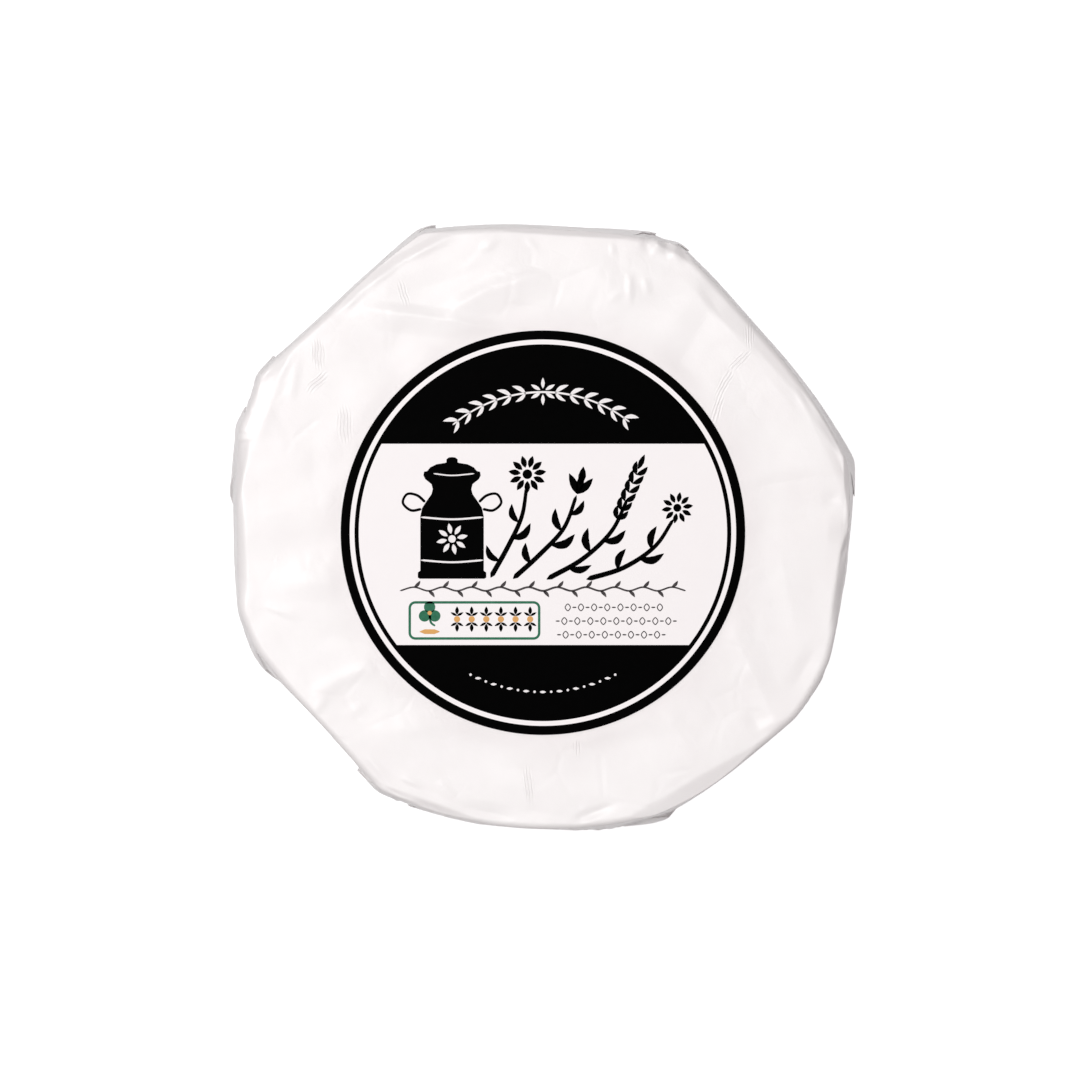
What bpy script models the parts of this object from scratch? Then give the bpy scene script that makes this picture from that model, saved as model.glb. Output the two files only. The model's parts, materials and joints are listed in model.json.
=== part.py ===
"""A small round of soft white cheese, shut in one sheet of white paper, with a round paper label on top.

The sheet lies flat over the top of the cheese, bends down over its round edge and is drawn tight from
corner to corner, so that the round wheel comes out with straight panels and standing corners. What is
too much paper at each corner is laid over to one side as a flat fold. The folds run down the side, a
little wider towards the floor, turn under and lap over each other on the base like the blades of an
iris. Nothing can be seen of the inside, so the wrapped wheel is one solid. The label is another.

Metres, +Z up. The origin is in the middle of the base. The top of the photograph is +Y.
"""
import math

import bmesh
import bpy

MM = 0.001
TINY = 0.001 * MM  # A mesh keeps its points to about this much.
MERGE_DISTANCE = 0.002 * MM
SHARP_ANGLE = 38.0

# The cheese and its paper, before the paper gets its corners and folds.
WHEEL_HEIGHT = 28.5 * MM
PLAIN_RADIUS = 50.0 * MM
TOP_FLAT_RADIUS = 48.3 * MM
SHOULDER_DROP = 1.8 * MM
SHOULDER_SHARPNESS = 2.3  # 2 is a quarter of an ellipse, and more is a squarer edge.
BASE_TURN = 3.0 * MM

# The label lies in a shallow seat that it is pressed into, a little off the middle of the wheel.
LABEL_DIAMETER = 65.0 * MM
LABEL_THICKNESS = 0.3 * MM
LABEL_EDGE_ROUND = 0.08 * MM
LABEL_OFFSET = (-0.1 * MM, -1.1 * MM)
LABEL_GAP = 0.3 * MM
SEAT_DEPTH = 0.5 * MM
SEAT_RADIUS = LABEL_DIAMETER / 2 + LABEL_GAP
SEAT_WALL = 0.3 * MM

# The corners of the paper, anticlockwise as seen from above. Each row holds a corner and the panel that
# follows it: the corner's angle in degrees, its reach from the middle and how far its foot stands out
# past its top, then the same three sizes in the middle of the panel, all lengths in millimetres.
CORNERS_AND_PANELS = (
    (12.0, 52.3, 2.2, 42.0, 48.2, 1.4),
    (64.5, 51.7, 1.5, 67.3, 51.2, 1.5),
    (70.0, 51.2, 1.8, 86.5, 49.5, 1.7),
    (112.5, 52.7, 1.6, 133.5, 50.25, 1.4),
    (152.0, 53.1, 1.3, 157.0, 52.5, 1.3),
    (161.5, 53.1, 1.6, 181.0, 50.9, 1.6),
    (195.5, 52.1, 1.3, 200.0, 51.9, 1.4),
    (205.0, 51.6, 1.6, 223.0, 48.8, 0.9),
    (238.0, 51.2, 1.3, 267.0, 49.7, 1.0),
    (291.0, 51.6, 1.6, 310.0, 50.8, 1.0),
    (323.0, 51.75, 0.7, 330.0, 51.7, 0.7),
    (335.0, 51.7, 0.8, 353.0, 50.3, 1.2),
)
PANEL_CURVE = 1.8
CORNER_SOFTNESS = 1.2

# The folds, in the same order. Each row holds the angle of the fold's edge at the floor, the side of the
# edge that lies on top (1 anticlockwise of it, -1 clockwise), how many degrees the edge leans back to
# its corner on the way up, and how far the laid paper stands out at the floor in millimetres.
FOLDS = (
    (5.5, 1, 5.0, 0.25),
    (62.0, 1, 3.0, 0.3),
    (68.7, 1, 3.0, 0.5),
    (109.5, 1, 4.0, 0.6),
    (147.5, 1, 5.0, 0.5),
    (158.0, 1, 3.0, 0.3),
    (174.5, -1, 6.0, 0.5),
    (207.5, -1, 5.0, 0.5),
    (232.5, 1, 6.0, 0.5),
    (244.0, 1, 4.0, 0.3),
    (283.5, -1, 3.0, 0.3),
    (293.5, -1, 5.0, 0.7),
    (333.0, -1, 5.0, 0.4),
)
FOLD_EDGE_WIDTH = 0.5
FOLD_REACH = 13.0
FOLD_LEAN_SPREAD = 14.0

# On the base each panel laps over or under its neighbours, towards an eye whose middle is pressed flat.
BASE_LAP = 0.6 * MM
EYE_RADIUS = 5.0 * MM
PRESSED_RADIUS = 8.0 * MM
LAP_FULL_RADIUS = 13.0 * MM

# How finely the turned wheel is divided.
COLUMN_STEP = 3.6
SHOULDER_STEPS = 8
SIDE_STEPS = 5
TURN_STEPS = 3
STRETCH_RADIUS = SEAT_RADIUS + SEAT_WALL
TOP_RING_RADII = (18.0 * MM, SEAT_RADIUS, STRETCH_RADIUS, 38.5 * MM, 43.5 * MM)
BASE_RING_RADII = (43.5 * MM, 38.0 * MM, 31.0 * MM, 24.0 * MM, 18.0 * MM, LAP_FULL_RADIUS,
                   PRESSED_RADIUS)
LABEL_SIDES = 96

PAPER_COLOUR = (0.92, 0.90, 0.90, 1.0)
PAPER_ROUGHNESS = 0.42
LABEL_COLOUR = (0.02, 0.02, 0.02, 1.0)
LABEL_ROUGHNESS = 0.35


def clear_scene():
    """Removes every object that the file opens with."""
    for thing in list(bpy.data.objects):
        bpy.data.objects.remove(thing, do_unlink=True)


def smooth(share):
    """Eases a share from 0 to 1 at both of its ends."""
    share = min(1.0, max(0.0, share))
    return share * share * (3 - 2 * share)


def turn_between(start, end):
    """The angle in degrees from start on to end, from 0 up to 360, going anticlockwise."""
    return (end - start) % 360.0


def sheet_stations():
    """The corners and panel middles as one ring of (angle, distance, flare, is a corner)."""
    stations = []
    for corner, reach, corner_flare, panel, distance, panel_flare in CORNERS_AND_PANELS:
        stations.append((corner, reach * MM, corner_flare * MM, True))
        stations.append((panel, distance * MM, panel_flare * MM, False))
    return stations


STATIONS = sheet_stations()


def sheet_at(angle):
    """The distance of the paper's foot and its flare at one angle, with the corners still sharp."""
    for index, start in enumerate(STATIONS):
        end = STATIONS[(index + 1) % len(STATIONS)]
        span = turn_between(start[0], end[0])
        along = turn_between(start[0], angle)
        if along <= span:
            break
    corner, panel, share = (start, end, 1 - along / span) if start[3] else (end, start, along / span)
    rise = share ** PANEL_CURVE
    distance = panel[1] + (corner[1] - panel[1]) * rise
    flare = panel[2] + (corner[2] - panel[2]) * rise
    return distance, flare


def soft_sheet_at(angle):
    """The same two sizes, with the corners rounded as paper rounds them."""
    samples = [sheet_at(angle + CORNER_SOFTNESS * offset) for offset in (-1, -0.5, 0, 0.5, 1)]
    distance = sum(sample[0] for sample in samples) / len(samples)
    flare = sum(sample[1] for sample in samples) / len(samples)
    return distance, flare


def fold_lean(angle):
    """How many degrees a column at this angle leans on its way up, so that it follows the folds."""
    lean = 0.0
    for edge, side, edge_lean, _ in FOLDS:
        away = abs((angle - edge + 180.0) % 360.0 - 180.0)
        lean += side * edge_lean * smooth(1 - away / FOLD_LEAN_SPREAD)
    return lean


def flap(angle):
    """How far the laid paper stands out from the side: most at a fold's edge, less and less behind it."""
    stands = 0.0
    for edge, side, _, step in FOLDS:
        behind = turn_between(edge, angle) if side > 0 else turn_between(angle, edge)
        stands = max(stands, step * MM * (1 - behind / FOLD_REACH))
    return stands


def lap(angle):
    """How far a panel stands out on the base: full along an edge where it is on top, nothing where under."""
    for index, start in enumerate(FOLDS):
        end = FOLDS[(index + 1) % len(FOLDS)]
        span = turn_between(start[0], end[0])
        along = turn_between(start[0], angle)
        if along <= span:
            break
    at_start = 1.0 if start[1] > 0 else 0.0
    at_end = 1.0 if end[1] < 0 else 0.0
    return BASE_LAP * (at_start + (at_end - at_start) * smooth(along / span))


def column_angles():
    """The angles of the wheel's columns: evenly spread between corners and close pairs at fold edges."""
    kept = [row[0] for row in CORNERS_AND_PANELS]
    for edge, _, _, _ in FOLDS:
        kept.append(edge - FOLD_EDGE_WIDTH / 2)
        kept.append(edge + FOLD_EDGE_WIDTH / 2)
    kept.sort()
    angles = []
    for index, start in enumerate(kept):
        gap = turn_between(start, kept[(index + 1) % len(kept)])
        pieces = max(1, round(gap / COLUMN_STEP))
        angles.extend(start + gap * piece / pieces for piece in range(pieces))
    return angles


def plain_profile():
    """The outer line of the plain turned wheel, from the middle of its top to the middle of its base."""
    line = [(0.0, WHEEL_HEIGHT)]
    line.extend((radius, WHEEL_HEIGHT) for radius in TOP_RING_RADII)
    power = 2 / SHOULDER_SHARPNESS
    for step in range(SHOULDER_STEPS + 1):
        turn = math.pi / 2 * step / SHOULDER_STEPS
        across = max(0.0, math.sin(turn)) ** power
        down = 1 - max(0.0, math.cos(turn)) ** power
        radius = TOP_FLAT_RADIUS + (PLAIN_RADIUS - TOP_FLAT_RADIUS) * across
        line.append((radius, WHEEL_HEIGHT - SHOULDER_DROP * down))
    side_top = WHEEL_HEIGHT - SHOULDER_DROP
    for step in range(1, SIDE_STEPS + 1):
        line.append((PLAIN_RADIUS, side_top + (BASE_TURN - side_top) * step / SIDE_STEPS))
    for step in range(1, TURN_STEPS + 1):
        turn = math.pi / 2 * step / TURN_STEPS
        radius = PLAIN_RADIUS - BASE_TURN * (1 - math.cos(turn))
        line.append((radius, BASE_TURN * (1 - math.sin(turn))))
    line.extend((radius, 0.0) for radius in BASE_RING_RADII)
    line.append((0.0, 0.0))
    return line


def wrap(radius, height, angle):
    """Moves one point of the plain wheel to its place on the wrapped one."""
    below_shoulder = WHEEL_HEIGHT - SHOULDER_DROP - height
    down = min(1.0, max(0.0, below_shoulder / (WHEEL_HEIGHT - SHOULDER_DROP - BASE_TURN)))
    turned = angle + fold_lean(angle) * smooth(1 - down)
    distance, flare = soft_sheet_at(turned)
    outer = distance - flare * (1 - down)
    if radius > STRETCH_RADIUS:
        stretch = (outer - STRETCH_RADIUS) / (PLAIN_RADIUS - STRETCH_RADIUS)
        radius = STRETCH_RADIUS + (radius - STRETCH_RADIUS) * stretch
    under = 0.0
    if height < BASE_TURN - TINY:
        under = math.asin(min(1.0, 1 - height / BASE_TURN)) / (math.pi / 2)
        swirl = math.asin(min(1.0, EYE_RADIUS / max(radius, EYE_RADIUS)))
        turned += math.degrees(swirl) * smooth(under)
    out = flap(angle) * (1 - under) + lap(angle) * under
    if height < TINY and radius < LAP_FULL_RADIUS:
        pressed = smooth((LAP_FULL_RADIUS - radius) / (LAP_FULL_RADIUS - PRESSED_RADIUS))
        out += (BASE_LAP - out) * pressed
    lean = under * math.pi / 2
    radius += out * math.cos(lean) * smooth(down)
    height += BASE_LAP * under - out * math.sin(lean)
    turned = math.radians(turned)
    return radius * math.cos(turned), radius * math.sin(turned), height


def seat(radius, height, x, y):
    """Presses the label's seat into the top, and carries its rings over to the label's own middle."""
    if height < WHEEL_HEIGHT - TINY or radius > TOP_FLAT_RADIUS:
        return x, y, height
    share = smooth((TOP_FLAT_RADIUS - radius) / (TOP_FLAT_RADIUS - STRETCH_RADIUS))
    if radius < SEAT_RADIUS + TINY:
        height -= SEAT_DEPTH
    return x + LABEL_OFFSET[0] * share, y + LABEL_OFFSET[1] * share, height


def turned_mesh(profile, columns):
    """Turns a profile about Z with a Screw modifier and returns the closed mesh."""
    sketch = bpy.data.meshes.new("profile")
    edges = [(index, index + 1) for index in range(len(profile) - 1)]
    sketch.from_pydata([(radius, 0.0, height) for radius, height in profile], edges, [])
    guide = bpy.data.objects.new("profile", sketch)
    bpy.context.scene.collection.objects.link(guide)
    screw = guide.modifiers.new("turn", "SCREW")
    screw.axis = "Z"
    screw.angle = math.radians(360)
    screw.steps = columns
    screw.render_steps = columns
    screw.use_merge_vertices = True
    screw.merge_threshold = MERGE_DISTANCE
    evaluated = guide.evaluated_get(bpy.context.evaluated_depsgraph_get())
    mesh = bpy.data.meshes.new_from_object(evaluated)
    bpy.data.objects.remove(guide, do_unlink=True)
    bpy.data.meshes.remove(sketch)
    turned = bmesh.new()
    turned.from_mesh(mesh)
    bmesh.ops.remove_doubles(turned, verts=turned.verts, dist=MERGE_DISTANCE)
    bmesh.ops.recalc_face_normals(turned, faces=turned.faces)
    turned.to_mesh(mesh)
    turned.free()
    return mesh


def principled(name, colour, roughness):
    """A plain material of one colour."""
    material = bpy.data.materials.new(name)
    material.use_nodes = True
    shader = material.node_tree.nodes["Principled BSDF"]
    shader.inputs["Base Color"].default_value = colour
    shader.inputs["Roughness"].default_value = roughness
    shader.inputs["Metallic"].default_value = 0.0
    material.diffuse_color = colour
    return material


def add_object(name, mesh, material, collection):
    """Puts a mesh into the scene as one named sub-part."""
    mesh.name = name
    mesh.materials.clear()
    mesh.materials.append(material)
    thing = bpy.data.objects.new(name, mesh)
    collection.objects.link(thing)
    return thing


def make_wheel(collection):
    """The cheese in its paper: a turned wheel whose points are then moved to the sheet's form."""
    angles = column_angles()
    mesh = turned_mesh(plain_profile(), len(angles))
    for vertex in mesh.vertices:
        x, y, height = vertex.co
        radius = math.hypot(x, y)
        column = round(math.degrees(math.atan2(y, x)) / 360.0 * len(angles)) % len(angles)
        x, y, lifted = wrap(radius, height, angles[column])
        x, y, lifted = seat(radius, lifted, x, y)
        vertex.co = (x, y, lifted)
    mesh.shade_smooth()
    mesh.set_sharp_from_angle(angle=math.radians(SHARP_ANGLE))
    paper = principled("white_paper", PAPER_COLOUR, PAPER_ROUGHNESS)
    return add_object("wrapped_wheel", mesh, paper, collection)


def make_label(collection):
    """The round label, flat, with its cut edge very slightly rounded."""
    disc = bmesh.new()
    bmesh.ops.create_cone(disc, cap_ends=True, segments=LABEL_SIDES, radius1=LABEL_DIAMETER / 2,
                          radius2=LABEL_DIAMETER / 2, depth=LABEL_THICKNESS)
    mesh = bpy.data.meshes.new("round_label")
    disc.to_mesh(mesh)
    disc.free()
    mesh.shade_smooth()
    mesh.set_sharp_from_angle(angle=math.radians(SHARP_ANGLE))
    print_paper = principled("label_paper", LABEL_COLOUR, LABEL_ROUGHNESS)
    label = add_object("round_label", mesh, print_paper, collection)
    underside = WHEEL_HEIGHT - SEAT_DEPTH + LABEL_GAP
    label.location = (LABEL_OFFSET[0], LABEL_OFFSET[1], underside + LABEL_THICKNESS / 2)
    bevel = label.modifiers.new("edge", "BEVEL")
    bevel.width = LABEL_EDGE_ROUND
    bevel.segments = 1
    bevel.limit_method = "ANGLE"
    return label


def stand_on_middle(wheel, label):
    """Moves both pieces so that the middle of the wheel's box is over the origin."""
    xs = [vertex.co.x for vertex in wheel.data.vertices]
    ys = [vertex.co.y for vertex in wheel.data.vertices]
    middle_x = (min(xs) + max(xs)) / 2
    middle_y = (min(ys) + max(ys)) / 2
    for vertex in wheel.data.vertices:
        vertex.co.x -= middle_x
        vertex.co.y -= middle_y
    label.location.x -= middle_x
    label.location.y -= middle_y


clear_scene()
cheese = bpy.data.collections.new("brie_wheel")
bpy.context.scene.collection.children.link(cheese)
wrapped_wheel = make_wheel(cheese)
round_label = make_label(cheese)
stand_on_middle(wrapped_wheel, round_label)
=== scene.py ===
"""A small round of soft white cheese in pleated white paper, with a round black and white label.

Everything is in metres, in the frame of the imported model: +Z up, the label on top, +Y towards the top
of the label. The sections follow the wheel as it is put together: the sheet of paper round the cheese,
the label, the inks printed on the label, and last the table, the lights and the camera.
"""
import math
import bpy
import json
import numpy as np
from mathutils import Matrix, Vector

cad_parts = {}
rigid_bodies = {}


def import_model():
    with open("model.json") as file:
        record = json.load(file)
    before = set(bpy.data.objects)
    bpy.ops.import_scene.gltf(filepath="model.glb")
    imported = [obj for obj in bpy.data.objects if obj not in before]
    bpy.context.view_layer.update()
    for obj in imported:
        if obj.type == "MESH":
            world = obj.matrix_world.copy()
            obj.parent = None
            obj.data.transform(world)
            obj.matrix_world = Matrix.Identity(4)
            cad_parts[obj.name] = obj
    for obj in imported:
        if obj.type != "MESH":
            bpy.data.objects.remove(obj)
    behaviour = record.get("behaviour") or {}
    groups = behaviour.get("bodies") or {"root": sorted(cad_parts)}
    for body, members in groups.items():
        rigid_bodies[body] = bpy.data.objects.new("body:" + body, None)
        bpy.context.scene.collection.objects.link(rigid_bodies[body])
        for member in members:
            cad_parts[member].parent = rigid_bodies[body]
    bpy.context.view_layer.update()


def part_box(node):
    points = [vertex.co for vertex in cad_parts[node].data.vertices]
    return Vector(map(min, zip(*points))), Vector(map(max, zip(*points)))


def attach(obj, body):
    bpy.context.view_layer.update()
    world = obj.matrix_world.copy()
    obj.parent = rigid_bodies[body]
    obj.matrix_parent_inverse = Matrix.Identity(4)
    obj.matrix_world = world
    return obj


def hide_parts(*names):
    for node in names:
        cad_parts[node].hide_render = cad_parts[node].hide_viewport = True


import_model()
MM = 0.001


# The sheet of paper round the cheese.
# One sheet of white waxed paper lies flat over the top of the cheese, turns down over its round edge and
# is drawn tight from corner to corner. What is too much is laid over in flat folds, which open a little
# at their edges, run down the side and lap over each other on the base.

WHEEL_HEIGHT = 28.5 * MM
PLAIN_RADIUS = 50.0 * MM
TOP_FLAT_RADIUS = 48.7 * MM
STRETCH_RADIUS = 33.1 * MM
SHOULDER_DROP = 1.5 * MM
SHOULDER_SHARPNESS = 2.2
BASE_TURN = 3.0 * MM

# Each row is a corner and the panel after it: angle in degrees, distance and flare in millimetres.
CORNERS_AND_PANELS = (
    (12.0, 52.3, 2.2, 42.0, 48.2, 1.4),
    (64.5, 51.7, 1.5, 67.3, 51.2, 1.5),
    (70.0, 51.2, 1.8, 86.5, 49.5, 1.7),
    (112.5, 52.7, 1.6, 133.5, 50.25, 1.4),
    (152.0, 53.1, 1.3, 157.0, 52.5, 1.3),
    (161.5, 53.1, 1.6, 181.0, 50.9, 1.6),
    (195.5, 52.1, 1.3, 200.0, 51.9, 1.4),
    (205.0, 51.6, 1.6, 223.0, 48.8, 0.9),
    (238.0, 51.2, 1.3, 267.0, 49.7, 1.0),
    (291.0, 51.6, 1.6, 310.0, 50.8, 1.0),
    (323.0, 51.75, 0.7, 330.0, 51.7, 0.7),
    (335.0, 51.7, 0.8, 353.0, 50.3, 1.2),
)
PANEL_CURVE = 1.8
CORNER_SOFTNESS = 1.0

# Each row is a fold: the angle of its edge at the floor, the side that lies on top (1 anticlockwise),
# the degrees that it leans back on the way up, how far it stands out in millimetres, and how far open
# its edge is.
FOLDS = (
    (5.5, 1, 5.0, 0.25, 0.4),
    (62.0, 1, 3.0, 0.3, 0.2),
    (68.7, 1, 3.0, 0.5, 0.15),
    (109.5, 1, 4.0, 0.6, 0.15),
    (147.5, 1, 5.0, 0.5, 0.05),
    (158.0, 1, 3.0, 0.3, 0.05),
    (174.5, -1, 6.0, 0.5, 0.05),
    (207.5, -1, 5.0, 0.5, 0.05),
    (232.5, 1, 6.0, 0.5, 0.1),
    (244.0, 1, 4.0, 0.3, 0.05),
    (283.5, -1, 3.0, 0.3, 0.0),
    (293.5, -1, 5.0, 0.7, 0.2),
    (333.0, -1, 5.0, 0.4, 0.0),
)
FOLD_REACH = 13.0
FOLD_LEAN_SPREAD = 14.0
BASE_LAP = 0.6 * MM
EYE_RADIUS = 5.0 * MM
PRESSED_RADIUS = 8.0 * MM
LAP_FULL_RADIUS = 13.0 * MM

# The section through a fold, from the paper below to the paper on top of it: degrees past the fold's
# edge, the degrees that an open fold adds to them, and the share of the fold's height.
FOLD_SECTION = (
    (-1.6, 0.0, 0.0), (-0.8, 0.0, 0.0), (-0.25, 0.0, 0.0), (-0.05, 0.55, 0.0), (0.0, 1.1, 0.04),
    (0.02, 1.33, 0.25), (0.04, 1.16, 0.5), (0.06, 0.54, 0.62), (0.08, 0.02, 0.7), (0.1, -0.22, 0.78),
    (0.12, -0.32, 0.9), (0.16, -0.28, 1.02), (0.3, -0.15, 1.06), (0.7, 0.0, 1.03), (1.3, 0.0, 1.0),
)
COLUMN_STEP = 0.54

# The rings under the label, round it (from, to and step) and on the base, in millimetres, and how many
# there are over the shoulder, down the side and round the turn to the base.
LABEL_RINGS = (0.0, 10.0, 20.0, 28.0)
TOP_RINGS = (31.0, 48.6, 0.34)
BASE_RINGS = (*np.linspace(46.0, 14.0, 15), *np.linspace(13.0, 0.6, 8))
SHOULDER_STEPS, SIDE_STEPS, TURN_STEPS = 15, 25, 7

LABEL_RADIUS = 32.5 * MM
label_low, label_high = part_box("round_label")
LABEL_MIDDLE = ((label_low[0] + label_high[0]) / 2, (label_low[1] + label_high[1]) / 2)


def smooth(share):
    """Eases a share from 0 to 1 at both of its ends."""
    share = np.clip(share, 0.0, 1.0)
    return share * share * (3 - 2 * share)


def sheet_at(angle):
    """The distance of the paper's foot and its flare at each angle, with the corners still sharp."""
    stations = np.array(CORNERS_AND_PANELS).reshape(-1, 3)
    stations[:, 1:] *= MM
    starts = stations[:, 0]
    index = np.searchsorted(starts, (angle - starts[0]) % 360.0 + starts[0], side="right") - 1
    start = stations[index]
    end = stations[(index + 1) % len(stations)]
    share = ((angle - start[..., 0]) % 360.0) / ((end[..., 0] - start[..., 0]) % 360.0)
    from_corner = (index % 2 == 0)
    rise = np.where(from_corner, 1 - share, share) ** PANEL_CURVE
    corner = np.where(from_corner[..., None], start, end)
    panel = np.where(from_corner[..., None], end, start)
    mixed = panel + (corner - panel) * rise[..., None]
    return mixed[..., 1], mixed[..., 2]


def soft_sheet_at(angle):
    """The same two sizes, with the corners rounded as paper rounds them."""
    samples = [sheet_at(angle + CORNER_SOFTNESS * offset) for offset in (-1, -0.5, 0, 0.5, 1)]
    return sum(sample[0] for sample in samples) / 5, sum(sample[1] for sample in samples) / 5


def fold_lean(angle):
    """The degrees that a column leans on its way up, so that it follows the folds."""
    lean = np.zeros_like(angle)
    for edge, side, edge_lean, _, _ in FOLDS:
        away = np.abs((angle - edge + 180.0) % 360.0 - 180.0)
        lean += side * edge_lean * smooth(1 - away / FOLD_LEAN_SPREAD)
    return lean


def flap(angle):
    """How far the laid paper stands out from the side at one angle."""
    stands = 0.0
    for edge, side, _, step, _ in FOLDS:
        behind = (angle - edge) * side % 360.0
        stands = max(stands, step * MM * (1 - behind / FOLD_REACH))
    return stands


def lap(angle):
    """How far a panel stands out on the base at one angle."""
    for index, start in enumerate(FOLDS):
        end = FOLDS[(index + 1) % len(FOLDS)]
        span = (end[0] - start[0]) % 360.0
        along = (angle - start[0]) % 360.0
        if along <= span:
            break
    at_start = 1.0 if start[1] > 0 else 0.0
    at_end = 1.0 if end[1] < 0 else 0.0
    return BASE_LAP * (at_start + (at_end - at_start) * smooth(along / span))


def sheet_columns():
    """The columns of the sheet: angle, slide where a fold opens, and how far side and base stand out."""
    columns = []
    edge_gap = 0.02
    for index, (edge, side, _, _, opening) in enumerate(FOLDS):
        section = FOLD_SECTION if side > 0 else FOLD_SECTION[::-1]
        under, over = edge - side * edge_gap, edge + side * edge_gap
        first, last = FOLD_SECTION[0][0], FOLD_SECTION[-1][0]
        even = np.linspace(first, last, len(FOLD_SECTION)) * side
        if side < 0:
            even = even[::-1]
        for place, (shift, gape, share) in zip(even, section):
            out = flap(under) + (flap(over) - flap(under)) * share
            low = lap(under) + (lap(over) - lap(under)) * share
            columns.append((edge + place, (shift + gape * opening) * side - place, out, low))
        reach = even[-1]
        following, next_side = FOLDS[(index + 1) % len(FOLDS)][:2]
        next_reach = -first if next_side > 0 else last
        gap = (following - next_reach - edge - reach) % 360.0
        pieces = max(1, round(gap / COLUMN_STEP))
        for piece in range(1, pieces):
            angle = edge + reach + gap * piece / pieces
            columns.append((angle, 0.0, flap(angle), lap(angle)))
    return np.array(columns).T


def sheet_rings():
    """The rings of the sheet, as the line of a plain wheel from the middle of its top to its base."""
    line = [(radius * MM, WHEEL_HEIGHT) for radius in (*LABEL_RINGS, *np.arange(*TOP_RINGS))]
    power = 2 / SHOULDER_SHARPNESS
    for turn in np.linspace(0.0, math.pi / 2, SHOULDER_STEPS):
        across = max(0.0, math.sin(turn)) ** power
        down = 1 - max(0.0, math.cos(turn)) ** power
        radius = TOP_FLAT_RADIUS + (PLAIN_RADIUS - TOP_FLAT_RADIUS) * across
        line.append((radius, WHEEL_HEIGHT - SHOULDER_DROP * down))
    for height in np.linspace(WHEEL_HEIGHT - SHOULDER_DROP, BASE_TURN, SIDE_STEPS)[1:]:
        line.append((PLAIN_RADIUS, height))
    for turn in np.linspace(0.0, math.pi / 2, TURN_STEPS)[1:]:
        line.append((PLAIN_RADIUS - BASE_TURN * (1 - math.cos(turn)), BASE_TURN * (1 - math.sin(turn))))
    line.extend((radius * MM, 0.0) for radius in (*BASE_RINGS, 0.0))
    return np.array(line).T


# How sharp the brow of a crease is, and how late the crease fades towards its ends.
CREASE_BROW = 1.12
CREASE_FADE = 0.7


def crease(x, y, start, end, height, width, slant=1.0):
    """A ridge, or a valley where the height is negative, from start to end, wider to its left side."""
    start, end = np.array(start) * MM, np.array(end) * MM
    run = end - start
    along = np.clip(((x - start[0]) * run[0] + (y - start[1]) * run[1]) / (run @ run), 0.0, 1.0)
    east, north = x - start[0] - run[0] * along, y - start[1] - run[1] * along
    left = (run[0] * north - run[1] * east) > 0
    away = np.hypot(east, north) / (width * MM * np.where(left, slant, 1.0))
    fade = np.sin(math.pi * (0.04 + 0.92 * along)) ** CREASE_FADE
    return height * MM * fade * np.clip(1 - away, 0.0, 1.0) ** CREASE_BROW


# Where the sheet is pulled down flat over the cheese's edge: the direction that the slope faces, its
# distance from the middle in millimetres, and its fall.
SLOPES = (
    (62.1, 48.6, 1.2),
    (4.8, 48.8, 1.5),
    (24.5, 46.3, 0.15),
    (86.5, 46.9, 1.1),
    (123.8, 46.9, 0.24),
    (158.5, 47.9, 0.08),
    (229.6, 48.4, 0.8),
    (251.0, 47.8, 0.5),
    (299.6, 47.4, 0.33),
)

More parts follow.
